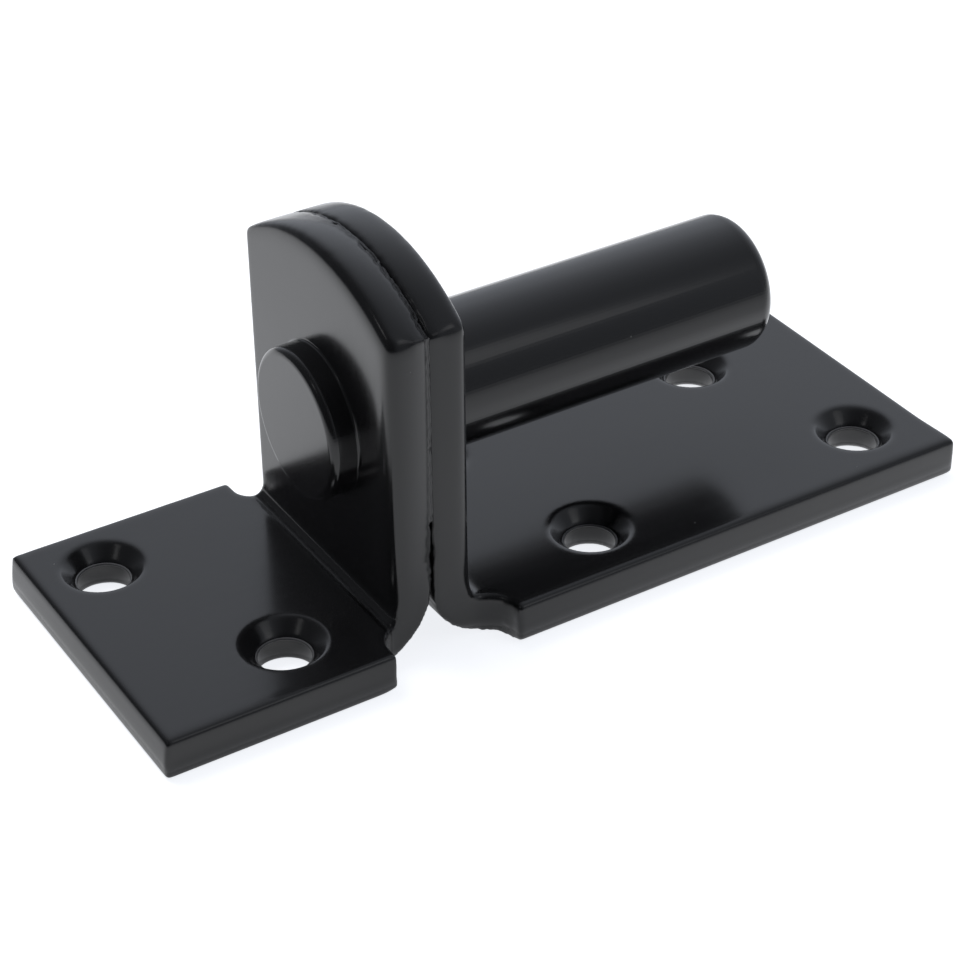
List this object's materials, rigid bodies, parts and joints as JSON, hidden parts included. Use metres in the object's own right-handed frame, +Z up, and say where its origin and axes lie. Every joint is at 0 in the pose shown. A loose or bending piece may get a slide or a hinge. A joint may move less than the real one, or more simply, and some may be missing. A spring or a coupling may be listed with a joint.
{
  "type": "gate hinge pin",
  "caption": "Gate hinge pin: bent plates with countersunk screw holes stand back to back, and a round pin through their arched upstands reaches out over the longer plate.",
  "frame": {"origin": "centre of the footprint, on the underside of the plates", "axes": "+X along the pin, from the short plate towards the pin's free end; +Z up off the plates; +Y to the far side"},
  "size_m": [0.1036, 0.0386, 0.0444],
  "materials": {
    "plate_coat": "semi-gloss black coating",
    "pin_coat": "semi-gloss black coating"
  },
  "bodies": {
    "root": {"short_plate": "plate_coat", "long_plate": "plate_coat", "hinge_pin": "pin_coat"}
  },
  "joints": []
}
